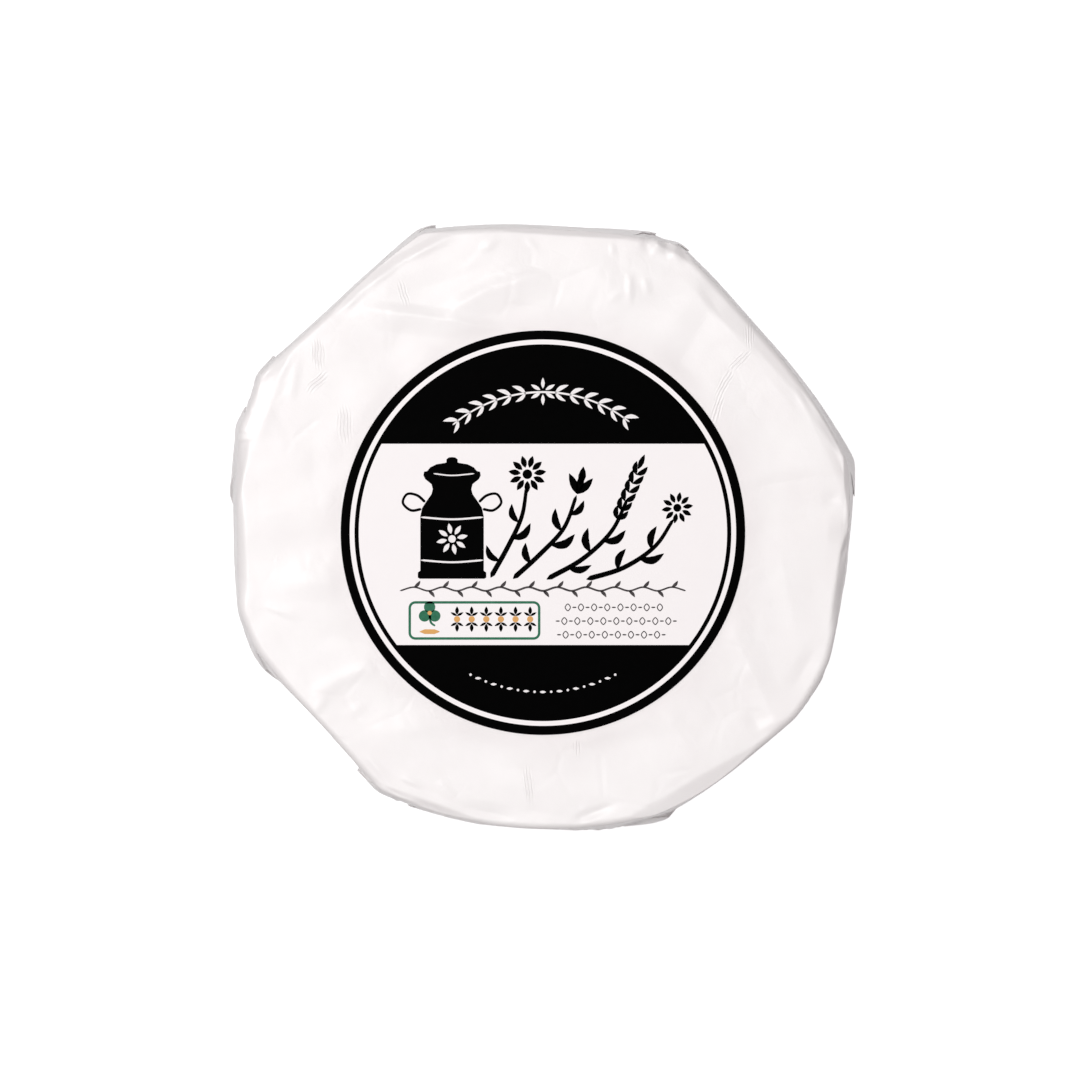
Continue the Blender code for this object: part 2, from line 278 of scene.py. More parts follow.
# Ridges and valleys on the top, from end to end in millimetres from the middle of the wheel, with
# their height, their half width, and how much wider they are to the left.
TOP_CREASES = (
    ((-31.9, 35.1), (-28.7, 38.3), 0.30, 0.9, 1.5),
    ((-29.2, 37.8), (-22.6, 42.6), 0.40, 0.9, 1.5),
    ((-23.5, 42.1), (-15.0, 46.6), 0.38, 0.9, 1.5),
    ((-28.5, 34.9), (-13.0, 32.9), 0.38, 3.2, 0.55),
    ((-16.0, 33.4), (-5.5, 30.8), 0.27, 3.2, 0.55),
    ((-15.8, 34.0), (-8.0, 38.8), 0.34, 3.6, 0.5),
    ((-10.5, 37.4), (1.0, 41.0), 0.38, 4.2, 0.5),
    ((-24.5, 36.4), (-12.0, 40.6), -0.21, 3.0, 1.0),
    ((-9.8, 44.2), (-7.5, 46.0), 0.21, 0.8, 1.2),
    ((-12.8, 41.5), (-10.0, 43.0), 0.08, 1.2, 1.0),
    ((-2.4, 46.2), (-1.2, 44.4), 0.11, 0.7, 1.2),
    ((11.0, 45.4), (11.3, 43.6), 0.11, 0.7, 1.2),
    ((13.9, 40.4), (13.9, 36.0), 0.27, 0.8, 1.2),
    ((16.2, 39.8), (17.0, 37.4), 0.18, 0.9, 1.2),
    ((10.6, 36.2), (13.2, 38.2), 0.1, 1.0, 1.0),
    ((15.0, 36.5), (25.0, 37.0), -0.19, 2.4, 1.6),
    ((16.0, 43.4), (26.0, 39.6), -0.16, 2.4, 1.2),
    ((25.6, 41.0), (36.5, 29.5), -0.86, 3.2, 1.0),
    ((25.5, 38.5), (28.6, 33.9), -0.16, 1.2, 1.6),
    ((34.0, 32.8), (45.0, 20.5), -0.75, 2.7, 1.0),
    ((36.2, 24.0), (41.5, 17.0), 0.16, 2.2, 1.6),
    ((40.5, 22.0), (43.5, 16.6), 0.13, 0.9, 0.8),
    ((25.0, 33.5), (37.0, 14.0), -0.13, 3.6, 1.2),
    ((45.0, 3.6), (47.8, 4.6), -0.24, 1.5, 1.2),
    ((48.8, 1.2), (48.4, -3.4), -0.55, 2.8, 1.0),
    ((17.0, 49.6), (16.6, 44.2), -0.60, 1.1, 1.0),
    ((18.7, 49.4), (18.3, 44.4), 0.50, 1.0, 1.0),
    ((20.2, 48.8), (19.8, 43.8), -0.55, 1.0, 1.0),
    ((21.6, 48.0), (21.2, 43.4), 0.45, 0.9, 1.0),
    ((23.4, 46.8), (22.8, 42.4), -0.50, 1.1, 1.0),
    ((46.6, 12.6), (49.2, 6.6), -0.08, 0.6, 1.0),
    ((47.8, 12.6), (50.2, 7.8), 0.10, 0.8, 1.0),
    ((49.6, 7.0), (49.2, -2.6), 0.50, 1.1, 1.0),
    ((49.4, -0.9), (48.0, -5.0), -1.1, 0.5, 6.0),
    ((49.0, -4.0), (47.2, -16.0), -1.3, 1.2, 1.0),
    ((11.9, -48.4), (19.2, -46.7), -4.0, 0.45, 1.0),
    ((48.8, 12.6), (45.0, 18.0), -0.72, 1.7, 1.0),
    ((38.0, -4.0), (41.0, -18.0), 0.14, 2.6, 1.6),
    ((29.6, -14.6), (37.6, -32.0), 0.21, 2.4, 1.3),
    ((43.8, -19.5), (40.2, -26.0), -0.19, 1.8, 1.4),
    ((33.0, -29.6), (35.6, -33.8), -0.24, 1.8, 1.4),
    ((33.8, -33.2), (38.6, -31.0), 0.16, 1.2, 1.3),
    ((-40.6, 27.6), (-42.7, 23.2), 0.24, 0.8, 1.2),
    ((-42.4, 23.8), (-45.8, 14.4), 0.12, 1.3, 1.4),
    ((-49.8, 14.2), (-47.0, 14.1), 0.24, 0.6, 1.0),
    ((-48.9, 13.9), (-50.5, 4.4), -2.0, 1.7, 1.0),
    ((-50.0, 14.6), (-46.9, 22.6), -0.60, 1.7, 1.0),
    ((-50.0, 3.6), (-49.3, -11.5), -1.2, 1.9, 1.0),
    ((-39.6, 26.8), (-40.4, 20.8), 0.19, 1.3, 0.7),
    ((-45.4, 23.4), (-41.6, 27.8), -0.34, 1.1, 1.0),
    ((-48.6, 20.0), (-46.6, 18.4), 0.16, 0.7, 1.2),
    ((-45.2, 1.6), (-41.0, 1.9), 0.08, 0.7, 1.4),
    ((-44.6, -12.8), (-39.4, -14.6), 0.14, 0.9, 1.4),
    ((-37.2, -27.4), (-32.0, -24.0), 0.19, 1.7, 0.8),
    ((-32.6, -24.4), (-27.0, -22.4), 0.17, 1.7, 0.8),
    ((-37.4, -30.6), (-34.8, -27.6), 0.18, 0.8, 1.3),
    ((-31.6, -30.6), (-28.6, -28.6), 0.14, 0.9, 1.3),
    ((-27.4, -21.6), (-25.4, -24.2), -0.13, 0.9, 1.3),
    ((-35.5, -17.5), (-27.0, -19.5), -0.13, 2.0, 1.4),
    ((-28.8, -36.6), (-24.6, -41.2), 0.16, 0.8, 1.4),
    ((-25.4, -41.6), (-14.2, -45.6), 0.19, 0.8, 1.6),
    ((-27.8, -41.4), (-22.6, -44.3), 0.42, 0.8, 1.0),
    ((-23.6, -43.2), (-19.8, -44.6), 0.32, 0.7, 1.0),
    ((-22.8, -40.4), (-19.6, -41.8), 0.19, 0.7, 1.4),
    ((-17.0, -41.0), (-14.0, -43.6), 0.16, 1.6, 1.0),
    ((-13.0, -45.2), (-4.6, -47.0), -0.35, 1.8, 1.0),
    ((5.0, -47.4), (11.2, -44.8), -0.34, 1.1, 1.0),
    ((-12.0, -38.0), (10.0, -41.0), -0.13, 2.8, 1.4),
    ((19.0, -29.0), (24.0, -36.0), 0.16, 1.6, 1.6),
)

# Fainter creases, spread at random: how many, then the limits of their distance from the middle, their
# length and their half width, their usual height for each millimetre of it, and how much wider they are
# to the left.
FAINT_CREASES = (
    (150, (37.0, 49.0), (2.0, 13.0), (0.6, 2.6), 0.014, (0.6, 2.5)),
    (34, (36.0, 50.0), (8.0, 24.0), (3.0, 8.0), 0.015, (0.3, 1.0)),
)
DENTED_SPOTS = 40
DENT_HEIGHT = 0.010 * MM
BROAD_WAVES = 14
WAVE_HEIGHT = 0.022 * MM


def polar(turn, far):
    """The point at a distance from the middle, in the direction of an angle in radians."""
    return np.array((math.cos(turn), math.sin(turn))) * far


def top_relief(x, y):
    """The height that the sheet gains on top: the drawn creases, fainter ones, dents and broad waves."""
    relief = sum(crease(x, y, *row) for row in TOP_CREASES)
    draw = np.random.default_rng(11)
    for count, distances, lengths, widths, rise, slants in FAINT_CREASES:
        for _ in range(count):
            middle = polar(draw.uniform(0, 2 * math.pi), draw.uniform(*distances))
            half = polar(draw.uniform(0, math.pi), draw.uniform(*lengths) / 2)
            width = draw.uniform(*widths)
            height, slant = draw.normal(0, rise) * width, draw.uniform(*slants)
            relief += crease(x, y, middle - half, middle + half, height, width, slant)
    for _ in range(DENTED_SPOTS):
        middle = polar(draw.uniform(0, 2 * math.pi), draw.uniform(35.0, 47.0) * MM)
        away = np.hypot(x - middle[0], y - middle[1])
        relief += draw.normal(0, DENT_HEIGHT) * smooth(1 - away / (draw.uniform(1.5, 5.0) * MM))
    for _ in range(BROAD_WAVES):
        heading, size = draw.uniform(0, 2 * math.pi), draw.uniform(9.0, 22.0) * MM
        across = (x * math.cos(heading) + y * math.sin(heading)) / size
        relief += WAVE_HEIGHT * np.sin(2 * math.pi * across + draw.uniform(0, 6.3))
    return relief


# How soft the brow of such a slope is.
SLOPE_BROW = 0.2 * MM


def sloped(x, y, height):
    """Lowers what stands above the slopes at the edge of the top."""
    for facing, far, fall in SLOPES:
        facing = math.radians(facing)
        past = x * math.cos(facing) + y * math.sin(facing) - far * MM
        eased = np.maximum(past + SLOPE_BROW, 0.0) ** 2 / (4 * SLOPE_BROW)
        past = np.where(past > SLOPE_BROW, past, eased)
        height = np.minimum(height, WHEEL_HEIGHT - past * fall)
    return height


LINES_AT_A_FOLD = 6
SLACK_CREASES = 110
# The length of one degree round the side, in millimetres.
DEGREE = PLAIN_RADIUS / MM * math.radians(1)


def past_line(angle, middle):
    """How far round the side its points are from an upright line on it, in metres."""
    return (((angle - middle + 180.0) % 360.0) - 180.0) * DEGREE * MM


def side_relief(angle, height):
    """How far the side swells and creases: tension lines that fan out from the folds, and slack between."""
    relief = np.zeros_like(angle)
    draw = np.random.default_rng(23)
    for edge, side, lean, _, _ in FOLDS:
        for _ in range(LINES_AT_A_FOLD):
            top = edge + side * lean + draw.normal(0, 1.5)
            foot = edge + draw.normal(0, 9.0)
            middle = (top + foot) / 2
            start = (top - middle) * DEGREE, draw.uniform(20.0, 26.0)
            end = (foot - middle) * DEGREE, draw.uniform(1.0, 9.0)
            swell, width = draw.uniform(-0.75, 0.3), draw.uniform(0.7, 1.7)
            relief += crease(past_line(angle, middle), height, start, end, swell, width)
    for _ in range(SLACK_CREASES):
        middle, level = draw.uniform(0, 360), draw.uniform(3.0, 23.0)
        half = polar(draw.uniform(0, math.pi), draw.uniform(3.0, 11.0) / 2)
        start, end = (0.0, level) - half, (0.0, level) + half
        swell, width = draw.uniform(-0.36, 0.22), draw.uniform(0.7, 2.2)
        relief += crease(past_line(angle, middle), height, start, end, swell, width)
    return relief


BASE_CREASES = 70


def base_relief(x, y):
    """How far the pressed paper of the base is dented upwards, most of all round the eye."""
    relief = np.zeros_like(x)
    draw = np.random.default_rng(37)
    for _ in range(BASE_CREASES):
        turn, far = draw.uniform(0, 2 * math.pi), draw.uniform(4.0, 45.0)
        half = polar(turn + draw.normal(0, 0.5), draw.uniform(1.5, 6.0))
        middle = polar(turn, far)
        dent, width = draw.uniform(0.06, 0.24), draw.uniform(0.5, 1.4)
        relief += crease(x, y, middle - half, middle + half, dent, width)
    return relief


# How far down the relief of the top gives way to that of the side, how far from the label it is full,
# and the height from the base at which the relief of the side is full.
RELIEF_DEPTH = 3.2 * MM
LABEL_CLEARANCE = 3.0 * MM
SIDE_FADE = 13.0 * MM


def sheet_points():
    """The points of the whole sheet, ring by ring, as an array of (rings, columns, 3)."""
    angle, slide, out_side, out_base = sheet_columns()
    radius, height = (row[:, None] for row in sheet_rings())
    below = WHEEL_HEIGHT - SHOULDER_DROP - height
    down = np.clip(below / (WHEEL_HEIGHT - SHOULDER_DROP - BASE_TURN), 0.0, 1.0)
    turned = angle + fold_lean(angle) * smooth(1 - down) + slide * smooth(down * 3.0)
    distance, flare = soft_sheet_at(turned)
    outer = distance - flare * (1 - down)
    stretch = (outer - STRETCH_RADIUS) / (PLAIN_RADIUS - STRETCH_RADIUS)
    radius = np.where(radius > STRETCH_RADIUS, STRETCH_RADIUS + (radius - STRETCH_RADIUS) * stretch,
                      radius + 0 * stretch)
    under = np.arcsin(np.clip(1 - height / BASE_TURN, 0.0, 1.0)) / (math.pi / 2)
    swirl = np.degrees(np.arcsin(np.clip(EYE_RADIUS / np.maximum(radius, EYE_RADIUS), 0.0, 1.0)))
    side_angle = turned
    turned = turned + swirl * smooth(under)
    out = out_side * (1 - under) + out_base * under
    pressed = smooth((LAP_FULL_RADIUS - radius) / (LAP_FULL_RADIUS - PRESSED_RADIUS)) * (under == 1.0)
    out = out + (BASE_LAP - out) * pressed
    lean = under * math.pi / 2
    out = out * np.where(under > 0, 1.0, smooth(down))
    radius = radius + out * np.cos(lean)
    height = height + BASE_LAP * under - out * np.sin(lean)
    direction = np.radians(turned)
    x, y = radius * np.cos(direction), radius * np.sin(direction)

    past_label = np.hypot(x - LABEL_MIDDLE[0], y - LABEL_MIDDLE[1]) - LABEL_RADIUS
    past_shoulder = smooth((WHEEL_HEIGHT - height) / RELIEF_DEPTH)
    on_top = (1 - past_shoulder) * smooth(past_label / LABEL_CLEARANCE)
    on_side = past_shoulder * smooth(height / SIDE_FADE)
    swell = side_relief(side_angle, height) * on_side
    x, y = x + swell * np.cos(direction), y + swell * np.sin(direction)
    height = sloped(x, y, height)
    height = height + top_relief(x, y) * on_top + base_relief(x, y) * smooth(under)
    return np.stack([x, y, np.maximum(height, 0.0)], axis=-1)


def select_only(piece):
    """Makes one object the only selected and active one."""
    for thing in bpy.context.view_layer.objects:
        thing.select_set(False)
    piece.select_set(True)
    bpy.context.view_layer.objects.active = piece


def shaped_grid(name, points, closed):
    """A grid primitive laid over rows of points, with its seam, and its two poles, closed."""
    rows, columns = points.shape[:2]
    if closed:
        points = np.concatenate([points, points[:, :1]], axis=1)
        columns += 1
    bpy.ops.mesh.primitive_grid_add(x_subdivisions=columns - 1, y_subdivisions=rows - 1, size=1.0)
    piece = bpy.context.object
    piece.name = piece.data.name = name
    piece.data.vertices.foreach_set("co", points.reshape(-1, 3).astype(np.float32).ravel())
    piece.data.update()
    select_only(piece)
    bpy.ops.object.mode_set(mode="EDIT")
    bpy.ops.mesh.select_all(action="SELECT")
    bpy.ops.mesh.remove_doubles(threshold=0.000002)
    bpy.ops.mesh.normals_make_consistent(inside=False)
    bpy.ops.object.mode_set(mode="OBJECT")
    bpy.ops.object.shade_smooth()
    return piece


class Field:
    """A number that changes over a surface. Arithmetic on it adds Math nodes to its material."""

    def __init__(self, finish, socket):
        self.finish = finish
        self.socket = socket

    def math(self, operation, *others):
        values = {place: value for place, value in enumerate((self, *others))}
        return self.finish.node("ShaderNodeMath", {"operation": operation}, values)

    def __add__(self, other):
        return self.math("ADD", other)

    def __radd__(self, other):
        return self.math("ADD", other)

    def __mul__(self, other):
        return self.math("MULTIPLY", other)

    def __rmul__(self, other):
        return self.math("MULTIPLY", other)

    def __sub__(self, other):
        return self.math("SUBTRACT", other)

    def __rsub__(self, other):
        return self.finish.node("ShaderNodeMath", {"operation": "SUBTRACT"}, {0: other, 1: self})

    def __truediv__(self, other):
        return self.math("DIVIDE", other)

    def between(self, low, high):
        """0 below low, 1 above high, and eased between them."""
        settings = {"interpolation_type": "SMOOTHSTEP", "clamp": True}
        return self.finish.node("ShaderNodeMapRange", settings, {0: self, 1: low, 2: high, 3: 0.0, 4: 1.0})


class Finish:
    """One material, with its Principled shader and the nodes that feed it."""

    def __init__(self, name, **constants):
        self.material = bpy.data.materials.new(name)
        self.material.use_nodes = True
        self.tree = self.material.node_tree
        self.shader = self.tree.nodes["Principled BSDF"]
        for socket, value in constants.items():
            self.shader.inputs[socket.replace("_", " ")].default_value = value
        self.place = self.node("ShaderNodeTexCoord", {}, {}, "Object")

    def node(self, kind, settings, values, output=0):
        """Adds a node: its settings first, then the value or link of each socket."""
        node = self.tree.nodes.new(kind)
        for setting, value in settings.items():
            setattr(node, setting, value)
        for socket, value in values.items():
            if isinstance(value, Field):
                self.tree.links.new(value.socket, node.inputs[socket])
            else:
                node.inputs[socket].default_value = value
        return Field(self, node.outputs[output])

    def noise(self, scale, detail=2.0, roughness=0.5, where=None):
        values = {"Vector": where or self.place, "Scale": scale, "Detail": detail, "Roughness": roughness}
        return self.node("ShaderNodeTexNoise", {}, values, "Fac")

    def mix(self, share, low, high):
        """A colour between two others."""
        settings = {"data_type": "RGBA"}
        return self.node("ShaderNodeMix", settings, {"Factor": share, 6: low, 7: high}, 2)

    def axis(self, which):
        """One coordinate of the surface, in metres."""
        return self.node("ShaderNodeSeparateXYZ", {}, {0: self.place}, which)

    def set(self, socket, field):
        self.tree.links.new(field.socket, self.shader.inputs[socket])

    def bump(self, height, strength, distance):
        """Raises the surface by a height from 0 to 1 times the distance."""
        values = {"Height": height, "Strength": strength, "Distance": distance}
        self.set("Normal", self.node("ShaderNodeBump", {}, values))


PAPER_BRIGHT = (0.930, 0.910, 0.902, 1.0)
PAPER_DULL = (0.898, 0.866, 0.860, 1.0)
# The darker tone of the painted shade on the paper round the label.
PAPER_LABEL_SHADE = (0.830, 0.786, 0.784, 1.0)

paper = Finish("waxed_white_paper", Specular_IOR_Level=0.5)
# Painted shade: the paper colour is darkened in a soft ring round the foot of the label, on the top of the
# wheel only.
from_label = paper.node("ShaderNodeVectorMath", {"operation": "DISTANCE"},
                        {0: paper.place, 1: (LABEL_MIDDLE[0], LABEL_MIDDLE[1], WHEEL_HEIGHT)}, "Value")
label_shade_ring = (1 - from_label.between(0.0318, 0.0382)) * paper.axis(2).between(0.020, 0.024)
mottle = paper.noise(90.0, 3.0, 0.6).between(0.36, 0.68)
tone = paper.mix(mottle * 0.5, PAPER_BRIGHT, PAPER_DULL)
paper.set("Base Color", paper.mix(label_shade_ring * 0.55, tone, PAPER_LABEL_SHADE))
paper.set("Roughness", 0.32 + paper.noise(260.0, 3.0) * 0.14)

# Patches of fine ripples: middle, the way they run, half their length and width, and their spacing.
RIPPLES = (
    (33.2, 30.9, 90.0, 2.8, 1.1, 0.42),
    (31.6, 26.6, 42.0, 3.0, 1.1, 0.50),
    (29.2, 23.0, 62.0, 3.2, 1.1, 0.50),
    (28.0, 18.8, 72.0, 3.0, 1.0, 0.50),
    (-22.4, 37.4, 106.0, 2.6, 1.0, 0.46),
    (-36.1, 27.7, 95.0, 3.0, 1.4, 0.50),
    (-36.3, 23.2, 45.0, 2.8, 1.2, 0.50),
    (-31.9, 16.4, 92.0, 3.6, 1.6, 0.54),
    (-2.3, -41.6, 96.0, 4.0, 1.1, 0.50),
    (5.5, -35.6, 90.0, 1.6, 0.9, 0.50),
)
RIPPLE_DEPTH = 5.0 * MM
unrest = paper.noise(300.0, 2.0)
rippled = 0.0
for x, y, heading, half_length, half_width, spacing in RIPPLES:
    values = {0: paper.place, 1: (x * MM, y * MM, WHEEL_HEIGHT), 2: (0.0, 0.0, math.radians(heading)),
              3: (half_length * MM, half_width * MM, RIPPLE_DEPTH)}
    patch = paper.node("ShaderNodeMapping", {"vector_type": "TEXTURE"}, values)
    far = paper.node("ShaderNodeVectorMath", {"operation": "LENGTH"}, {0: patch}, "Value")
    across = paper.node("ShaderNodeSeparateXYZ", {}, {0: patch}, 1)
    wave = (across * (2 * math.pi * half_width / spacing) + unrest * 11.0).math("SINE")
    rippled = (1 - far.between(0.45, 1.0)) * wave + rippled


def crumples(scale, edge):
    """Low facets of crumpled paper, with soft valleys between them."""
    values = {"Vector": paper.place, "Scale": scale, "Randomness": 1.0}
    valley = paper.node("ShaderNodeTexVoronoi", {"feature": "DISTANCE_TO_EDGE"}, values, "Distance")
    return valley.between(0.0, edge)


crumpled = crumples(120.0, 0.10) * paper.noise(60.0, 1.0).between(0.48, 0.62)
finely_crumpled = crumples(330.0, 0.14) * paper.noise(110.0, 1.0).between(0.52, 0.66)
waves = paper.noise(380.0, 3.0, 0.55)
fibres = paper.noise(2600.0, 3.0, 0.65)
raised = rippled * 0.28 + crumpled * 0.32 + finely_crumpled * 0.10 + waves * 0.44 + fibres * 0.05
paper.bump(raised, 1.0, 0.1 * MM)

wrap = shaped_grid("paper_wrap", sheet_points(), closed=True)
wrap.data.materials.append(paper.material)
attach(wrap, "root")
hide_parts("wrapped_wheel")


# The label.
# A disc of smooth white paper, cut round and glued flat on the middle of the top. Its print is black:
# a heavy outer ring, a white ring, a thin black ring, and a black cap above and below a white band.

LABEL_FACE = 28.62 * MM
LABEL_BACK = 28.40 * MM
PRINT_RADII = (LABEL_RADIUS, 31.05 * MM, 30.28 * MM, 29.60 * MM)
BAND_TOP = 14.29 * MM
BAND_FOOT = -18.05 * MM
LABEL_SIDES = 256

PRINT_BLACK = (0.0003, 0.0003, 0.0003, 1.0)
PRINT_BLACK_WORN = (0.0009, 0.0008, 0.0008, 1.0)
LABEL_BRIGHT = (0.960, 0.930, 0.928, 1.0)
LABEL_DULL = (0.940, 0.905, 0.905, 1.0)

black_ink = Finish("black_ink", Specular_IOR_Level=0.006)
black_ink.set("Base Color", black_ink.mix(black_ink.noise(900.0, 2.0), PRINT_BLACK, PRINT_BLACK_WORN))
black_ink.set("Roughness", 0.34 + black_ink.noise(1500.0, 2.0) * 0.12)
black_ink.bump(black_ink.noise(3200.0, 2.0), 0.10, 0.04 * MM)

label_white = Finish("label_white", Specular_IOR_Level=0.3)
label_white.set("Base Color", label_white.mix(label_white.noise(220.0, 3.0, 0.6), LABEL_BRIGHT, LABEL_DULL))
label_white.set("Roughness", 0.42 + label_white.noise(1100.0, 2.0) * 0.12)
label_white.bump(label_white.noise(3000.0, 3.0), 0.12, 0.04 * MM)

bpy.ops.mesh.primitive_circle_add(vertices=LABEL_SIDES, radius=PRINT_RADII[0], fill_type="NGON",
                                  location=(0.0, 0.0, LABEL_FACE))
label = bpy.context.object
label.name = label.data.name = "label_disc"
select_only(label)
bpy.ops.object.transform_apply(location=True, rotation=False, scale=False)
bpy.ops.object.mode_set(mode="EDIT")
bpy.ops.mesh.select_all(action="SELECT")
for outer, inner in zip(PRINT_RADII, PRINT_RADII[1:]):
    bpy.ops.mesh.inset(thickness=outer - inner)
for line in (BAND_TOP, BAND_FOOT):
    bpy.ops.mesh.select_all(action="SELECT")
    bpy.ops.mesh.bisect(plane_co=(0.0, line, 0.0), plane_no=(0.0, 1.0, 0.0))
bpy.ops.object.mode_set(mode="OBJECT")
label.data.materials.append(black_ink.material)
label.data.materials.append(label_white.material)
for face in label.data.polygons:
    far = math.hypot(face.center.x, face.center.y)
    in_white_ring = PRINT_RADII[2] < far < PRINT_RADII[1] and face.area < 1e-5
    in_band = far < PRINT_RADII[3] * 0.97 and BAND_FOOT < face.center.y < BAND_TOP
    face.material_index = 1 if in_white_ring or in_band else 0
select_only(label)
bpy.ops.object.mode_set(mode="EDIT")
bpy.ops.mesh.select_all(action="SELECT")
bpy.ops.mesh.extrude_region_move(TRANSFORM_OT_translate={"value": (0.0, 0.0, LABEL_BACK - LABEL_FACE)})
bpy.ops.mesh.select_all(action="SELECT")
bpy.ops.mesh.normals_make_consistent(inside=False)
bpy.ops.transform.translate(value=(LABEL_MIDDLE[0], LABEL_MIDDLE[1], 0.0))
bpy.ops.object.mode_set(mode="OBJECT")
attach(label, "root")
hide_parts("round_label")


# The inks on the label.
# The rest of the print, laid on the disc in thin films: a milk churn beside meadow flowers in black, a
# fine vine and three rows of beads in grey, a green frame with a clover leaf and gold beads, and small
# white ornaments on the black caps and on the churn.

INK_FACE = LABEL_FACE + 0.015 * MM
WHITE_INK_FACE = LABEL_FACE + 0.030 * MM
INK_FILM = 0.012 * MM


def flow(points, closed=False):
    """A smooth line through a few points."""
    points = np.array(points, dtype=float)
    if len(points) == 2:
        return points[0] + (points[1] - points[0]) * np.linspace(0.0, 1.0, 5)[:, None]
    ends = (points[-1], points[0]) if closed else (2 * points[0] - points[1], 2 * points[-1] - points[-2])
    row = [ends[0], *points, ends[1]] + ([points[1]] if closed else [])
    line = []
    for before, start, end, after in zip(row, row[1:], row[2:], row[3:]):
        for share in np.arange(9) / 9:
            line.append(0.5 * (2 * start + (end - before) * share
                               + (2 * before - 5 * start + 4 * end - after) * share ** 2
                               + (3 * start - before - 3 * end + after) * share ** 3))
    line.append(row[-2])
    return np.array(line)


def stroke(points, *widths, closed=False, smoothed=True):
    """One stroke of ink along a line, in millimetres from the middle of the label, with round ends."""
    way = flow(points, closed) if smoothed else np.array([*points, points[0]] if closed else points)
    run = np.concatenate([[0.0], np.cumsum(np.hypot(*np.diff(way, axis=0).T))])
    half = np.interp(run / run[-1], np.linspace(0.0, 1.0, len(widths)), widths) / 2
    if not closed:
        from_end = np.minimum(run, run[-1] - run) / np.maximum(half, 0.05)
        half = half * np.sqrt(np.clip(1 - (1 - np.minimum(from_end, 1.0)) ** 2, 0.02, 1.0))
    heading = np.gradient(way, axis=0)
    if closed:
        heading[0] = heading[-1] = heading[0] + heading[-1]
    heading /= np.hypot(*heading.T)[:, None]
    side = np.stack([-heading[:, 1], heading[:, 0]], axis=1) * half[:, None]
    return inked(np.stack([way + side, way, way - side], axis=1))


def inked(flat):
    """A flat grid piece from rows of points in millimetres from the middle of the label."""
    points = np.full((*flat.shape[:2], 3), INK_FACE)
    points[..., :2] = flat * MM + np.array(LABEL_MIDDLE)
    return shaped_grid("ink", points, closed=False)


def beyond(x, y, heading, far):
    """The point that lies some way from another, in the direction of an angle in degrees."""
    return x + far * math.cos(math.radians(heading)), y + far * math.sin(math.radians(heading))


def leaf(x, y, heading, length, width, bend=0.0):
    """A pointed leaf from its stalk, with its tip bent to its left by some degrees."""
    middle = beyond(x, y, heading, length / 2)
    tip = beyond(*middle, heading + bend, length / 2)
    return stroke([(x, y), middle, tip], 0.08, width * 0.8, width, width * 0.7, 0.05)


def spot(x, y, radius):
    """A round spot of ink."""
    turns = np.linspace(0.0, 2 * math.pi, 25)
    rim = np.stack([np.cos(turns), np.sin(turns)], axis=1) * radius
    return inked(np.stack([rim, rim * 0.5, rim * 0.0], axis=1) + np.array((x, y)))


def printed(name, finish, height, pieces):
    """Joins the pieces of one ink, gives them the film's thickness and fixes them to the wheel."""
    select_only(pieces[0])
    for piece in pieces:
        piece.select_set(True)
    bpy.ops.object.join()
    print_piece = bpy.context.object
    print_piece.name = print_piece.data.name = name
    bpy.ops.object.mode_set(mode="EDIT")
    bpy.ops.mesh.select_all(action="SELECT")
    bpy.ops.transform.translate(value=(0.0, 0.0, height - INK_FACE))
    bpy.ops.mesh.extrude_region_move(TRANSFORM_OT_translate={"value": (0.0, 0.0, -INK_FILM)})
    bpy.ops.mesh.select_all(action="SELECT")
    bpy.ops.mesh.normals_make_consistent(inside=False)
    bpy.ops.object.mode_set(mode="OBJECT")
    bpy.ops.object.shade_flat()
    print_piece.data.materials.clear()
    print_piece.data.materials.append(finish.material)
    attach(print_piece, "root")


def ink(name, colour, faded):
    """A matt printing ink, a little uneven on the paper."""
    finish = Finish(name, Specular_IOR_Level=0.15)
    finish.set("Base Color", finish.mix(finish.noise(1400.0, 3.0, 0.6).between(0.35, 0.7), colour, faded))
    finish.set("Roughness", 0.42 + finish.noise(1500.0) * 0.14)
    finish.bump(finish.noise(3200.0), 0.10, 0.03 * MM)
    return finish


# The churn: half its width at each height, from its foot to the knob of its lid.
CHURN_MIDDLE = -14.6
CHURN_FOOT = -7.4
CHURN_LINE = (
    (0.0, 5.2), (0.2, 5.5), (1.0, 5.5), (1.3, 5.1), (10.0, 5.1), (11.4, 4.8), (12.6, 4.0), (13.6, 3.3),
    (14.4, 3.1), (15.2, 3.3), (16.0, 4.3), (16.6, 4.6), (17.2, 4.5), (17.3, 4.0), (17.9, 3.5),
    (18.4, 2.5), (18.6, 1.2), (18.7, 0.9), (19.2, 0.9), (19.5, 0.5), (19.55, 0.05),
)
rows = np.array([[(CHURN_MIDDLE + side * half, CHURN_FOOT + high) for side in (-1, 0, 1)]
                 for high, half in CHURN_LINE])
black_pieces = [inked(rows)]
CHURN_HANDLE = ((4.9, 11.2), (6.6, 11.0), (7.9, 12.2), (7.2, 13.6), (5.6, 13.4), (4.3, 12.3))
for side in (-1, 1):
    handle = [(CHURN_MIDDLE + side * x, CHURN_FOOT + y) for x, y in CHURN_HANDLE]
    black_pieces.append(stroke(handle, 0.45, 0.4, 0.45))

